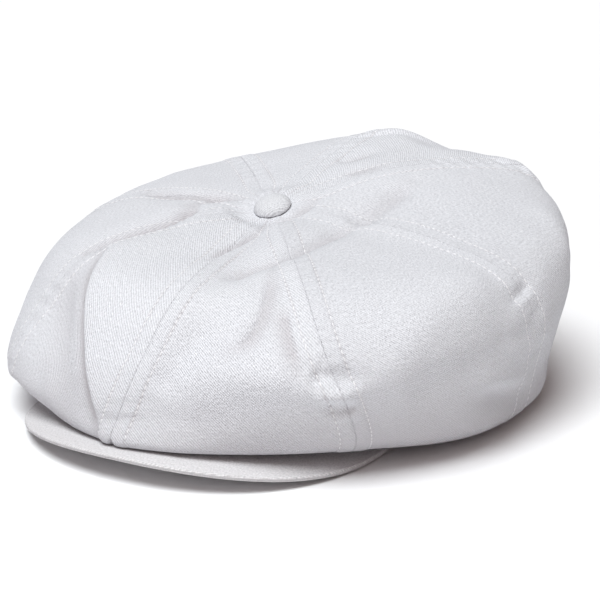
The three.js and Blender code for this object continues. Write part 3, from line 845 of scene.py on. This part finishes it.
def math_node(nodes, links, operation, first, second):
    """The output of a math node whose inputs are sockets or plain values."""
    node = nodes.new("ShaderNodeMath")
    node.operation = operation
    for socket, value in zip(node.inputs, (first, second)):
        if isinstance(value, bpy.types.NodeSocket):
            links.new(value, socket)
        else:
            socket.default_value = value
    return node.outputs[0]


def twill_group():
    """Twill weave: slanting ribs of yarn, broken up by uneven threads. Reads the cloth map."""
    group = new_group("twill", {"Rib Width": 0.8, "Slant": 1.0}, ["Height", "Shade"])
    nodes, links = group.nodes, group.links
    given = nodes.new("NodeGroupInput")
    result = nodes.new("NodeGroupOutput")
    cloth = nodes.new("ShaderNodeUVMap")
    cloth.uv_map = "cloth"
    split = nodes.new("ShaderNodeSeparateXYZ")
    links.new(cloth.outputs["UV"], split.inputs[0])
    slanted = math_node(nodes, links, "MULTIPLY", split.outputs["X"], given.outputs["Slant"])
    diagonal = math_node(nodes, links, "ADD", slanted, split.outputs["Y"])
    drift = nodes.new("ShaderNodeTexNoise")
    drift.inputs["Scale"].default_value = RIB_DRIFT_SCALE
    drift.inputs["Detail"].default_value = 2
    links.new(cloth.outputs["UV"], drift.inputs["Vector"])
    bent = math_node(nodes, links, "ADD", diagonal, drift.outputs["Fac"])
    turns = math_node(nodes, links, "DIVIDE", bent, given.outputs["Rib Width"])
    phase = math_node(nodes, links, "MULTIPLY", turns, 2 * math.pi)
    rib = math_node(nodes, links, "SINE", phase, 0)
    low_rib = math_node(nodes, links, "MULTIPLY", rib, RIB_HEIGHT)

    threads = nodes.new("ShaderNodeTexNoise")
    threads.inputs["Scale"].default_value = THREAD_SCALE
    threads.inputs["Detail"].default_value = 3
    stretch = nodes.new("ShaderNodeMapping")
    stretch.inputs["Scale"].default_value = (1, 0.5, 1)
    links.new(cloth.outputs["UV"], stretch.inputs["Vector"])
    links.new(stretch.outputs["Vector"], threads.inputs["Vector"])
    slubs = math_node(nodes, links, "MULTIPLY", threads.outputs["Fac"], THREAD_HEIGHT)
    height = math_node(nodes, links, "ADD", low_rib, slubs)
    links.new(height, result.inputs["Height"])
    shade = math_node(nodes, links, "MULTIPLY_ADD", height, SHADE_PER_HEIGHT)
    shade.node.inputs[2].default_value = LEAST_SHADE
    links.new(shade, result.inputs["Shade"])
    return group


def mottle_group():
    """Slow drift of tone over the cloth, as in washed cotton."""
    group = new_group("washed tone", {"Size": 14.0}, ["Tone"])
    nodes, links = group.nodes, group.links
    given = nodes.new("NodeGroupInput")
    result = nodes.new("NodeGroupOutput")
    place = nodes.new("ShaderNodeTexCoord")
    tone = nodes.new("ShaderNodeTexNoise")
    tone.inputs["Detail"].default_value = 4
    tone.inputs["Roughness"].default_value = 0.55
    links.new(place.outputs["Object"], tone.inputs["Vector"])
    links.new(given.outputs["Size"], tone.inputs["Scale"])
    links.new(tone.outputs["Fac"], result.inputs["Tone"])
    return group


def cotton(name, pale, deep, rib_width, slant, bump, sheen, roughness, painted_shade_colour=None):
    """A cotton cloth: tone drift between two colours, twill ribs and a soft fuzz of fibres."""
    material = bpy.data.materials.new(name)
    material.use_nodes = True
    nodes, links = material.node_tree.nodes, material.node_tree.links
    shader = nodes["Principled BSDF"]
    shader.inputs["Roughness"].default_value = roughness
    shader.inputs["Sheen Weight"].default_value = sheen
    shader.inputs["Sheen Roughness"].default_value = 0.6
    shader.inputs["Specular IOR Level"].default_value = 0.05

    weave = nodes.new("ShaderNodeGroup")
    weave.node_tree = twill
    weave.inputs["Rib Width"].default_value = rib_width
    weave.inputs["Slant"].default_value = slant
    washed = nodes.new("ShaderNodeGroup")
    washed.node_tree = washed_tone

    tone = nodes.new("ShaderNodeMix")
    tone.data_type = "RGBA"
    links.new(washed.outputs["Tone"], tone.inputs["Factor"])
    tone.inputs[6].default_value = (*deep, 1)
    tone.inputs[7].default_value = (*pale, 1)
    ribs = nodes.new("ShaderNodeMix")
    ribs.data_type = "RGBA"
    ribs.blend_type = "MULTIPLY"
    ribs.inputs["Factor"].default_value = WEAVE_SHADE
    links.new(tone.outputs[2], ribs.inputs[6])
    links.new(weave.outputs["Shade"], ribs.inputs[7])
    colour = ribs.outputs[2]
    # Painted shade: an attribute of the mesh darkens the colour in the seams, in creases and near the
    # hem
    if painted_shade_colour:
        depth = nodes.new("ShaderNodeAttribute")
        depth.attribute_name = "painted_shade"
        ditch = nodes.new("ShaderNodeMix")
        ditch.data_type = "RGBA"
        shade = math_node(nodes, links, "MULTIPLY", depth.outputs["Fac"], PAINTED_SHADE_STRENGTH)
        links.new(shade, ditch.inputs["Factor"])
        links.new(colour, ditch.inputs[6])
        ditch.inputs[7].default_value = (*painted_shade_colour, 1)
        colour = ditch.outputs[2]
    links.new(colour, shader.inputs["Base Color"])

    relief = nodes.new("ShaderNodeBump")
    relief.inputs["Strength"].default_value = bump
    relief.inputs["Distance"].default_value = WEAVE_DEPTH
    links.new(weave.outputs["Height"], relief.inputs["Height"])
    links.new(relief.outputs["Normal"], shader.inputs["Normal"])
    return material


twill = twill_group()
washed_tone = mottle_group()
# The crown's painted shade darkens its cloth toward a warm grey
crown_twill = cotton(
    "crown_twill", pale=(0.77, 0.78, 0.815), deep=(0.715, 0.725, 0.765),
    rib_width=1.45, slant=-1.0, bump=1.0, sheen=0.02, roughness=0.9, painted_shade_colour=(0.42, 0.385, 0.4),
)
button_twill = cotton(
    "button_twill", pale=(0.71, 0.72, 0.745), deep=(0.67, 0.68, 0.71),
    rib_width=1.3, slant=-1.0, bump=0.7, sheen=0.02, roughness=0.9,
)
peak_twill = cotton(
    "peak_twill", pale=(0.685, 0.675, 0.685), deep=(0.645, 0.63, 0.645),
    rib_width=1.3, slant=-0.8, bump=0.6, sheen=0.02, roughness=0.85,
)
band_cotton = cotton(
    "band_cotton", pale=(0.74, 0.70, 0.71), deep=(0.70, 0.66, 0.67),
    rib_width=1.1, slant=0.2, bump=0.6, sheen=0.02, roughness=0.9,
)


def thread_material():
    """Smooth white sewing thread with the faint bands of its twist."""
    material = bpy.data.materials.new("thread")
    material.use_nodes = True
    nodes, links = material.node_tree.nodes, material.node_tree.links
    shader = nodes["Principled BSDF"]
    shader.inputs["Roughness"].default_value = 0.6
    shader.inputs["Sheen Weight"].default_value = 0.15
    place = nodes.new("ShaderNodeTexCoord")
    twist = nodes.new("ShaderNodeTexNoise")
    twist.inputs["Scale"].default_value = 1800
    links.new(place.outputs["Object"], twist.inputs["Vector"])
    tone = nodes.new("ShaderNodeMix")
    tone.data_type = "RGBA"
    tone.inputs[6].default_value = (0.80, 0.80, 0.82, 1)
    tone.inputs[7].default_value = (0.88, 0.88, 0.89, 1)
    links.new(twist.outputs["Fac"], tone.inputs["Factor"])
    links.new(tone.outputs[2], shader.inputs["Base Color"])
    return material


thread = thread_material()

# Pieces

for panel_name, (first_seam, panel_columns, panel_rows) in PANELS.items():
    build_panel(panel_name, first_seam, panel_columns, panel_rows)
build_button()
build_peak()
build_sweatband()

# Floor, lights and camera

# The floor's half width and how far it lies under the cap, in metres
FLOOR_HALF_WIDTH = 8
FLOOR_DROP = 0.0002


def build_floor():
    """A wide pale floor just under the cap."""
    bm = bmesh.new()
    bmesh.ops.create_grid(bm, x_segments=1, y_segments=1, size=FLOOR_HALF_WIDTH)
    mesh = finished_mesh("floor", bm)
    floor = bpy.data.objects.new("floor", mesh)
    floor.location.z = -FLOOR_DROP
    bpy.context.collection.objects.link(floor)
    material = bpy.data.materials.new("floor")
    material.use_nodes = True
    shader = material.node_tree.nodes["Principled BSDF"]
    shader.inputs["Base Color"].default_value = (0.9, 0.9, 0.91, 1)
    shader.inputs["Roughness"].default_value = 0.9
    mesh.materials.append(material)


def sun_light(name, source, width, strength, colour):
    """A soft even light from one side: source points at it and width is its size in degrees."""
    light = bpy.data.lights.new(name, "SUN")
    light.angle = math.radians(width)
    light.energy = strength
    light.color = colour
    lamp = bpy.data.objects.new(name, light)
    lamp.rotation_euler = Vector(source).to_track_quat("Z", "Y").to_euler()
    bpy.context.collection.objects.link(lamp)


def build_camera():
    """The photograph's view of the cap."""
    turn = math.radians(VIEW_AROUND)
    rise = math.radians(VIEW_UP)
    right = Vector((math.cos(turn), math.sin(turn), 0))
    up = Vector((-math.sin(turn) * math.sin(rise), math.cos(turn) * math.sin(rise), math.cos(rise)))
    back = right.cross(up)
    aim = right * VIEW_AIM_RIGHT + up * VIEW_AIM_UP
    camera = bpy.data.cameras.new("camera")
    camera.sensor_width = SENSOR
    camera.lens = SENSOR * PIXELS_PER_MM * VIEW_DISTANCE / PHOTO_PIXELS
    camera.clip_start = 0.05
    camera.clip_end = 30
    eye = bpy.data.objects.new("camera", camera)
    eye.location = (aim + back * VIEW_DISTANCE) * MM + Vector(AXIS)
    eye.rotation_euler = Matrix((right, up, back)).transposed().to_euler()
    bpy.context.collection.objects.link(eye)
    bpy.context.scene.camera = eye


build_floor()
sun_light("key", source=(0, -0.37, 0.93), width=36, strength=3.45, colour=(0.95, 0.99, 1))
sun_light("side", source=(0.49, -0.42, 0.77), width=60, strength=0.26, colour=(1, 0.82, 0.7))
sun_light("front", source=(0.2, -0.92, 0.34), width=60, strength=0.32, colour=(1, 0.87, 0.85))
world = bpy.data.worlds.new("world")
bpy.context.scene.world = world
world.use_nodes = True
background = world.node_tree.nodes["Background"]
background.inputs["Color"].default_value = (1, 0.75, 0.75, 1)
background.inputs["Strength"].default_value = 0.1
bpy.context.scene.view_settings.view_transform = "Standard"
build_camera()
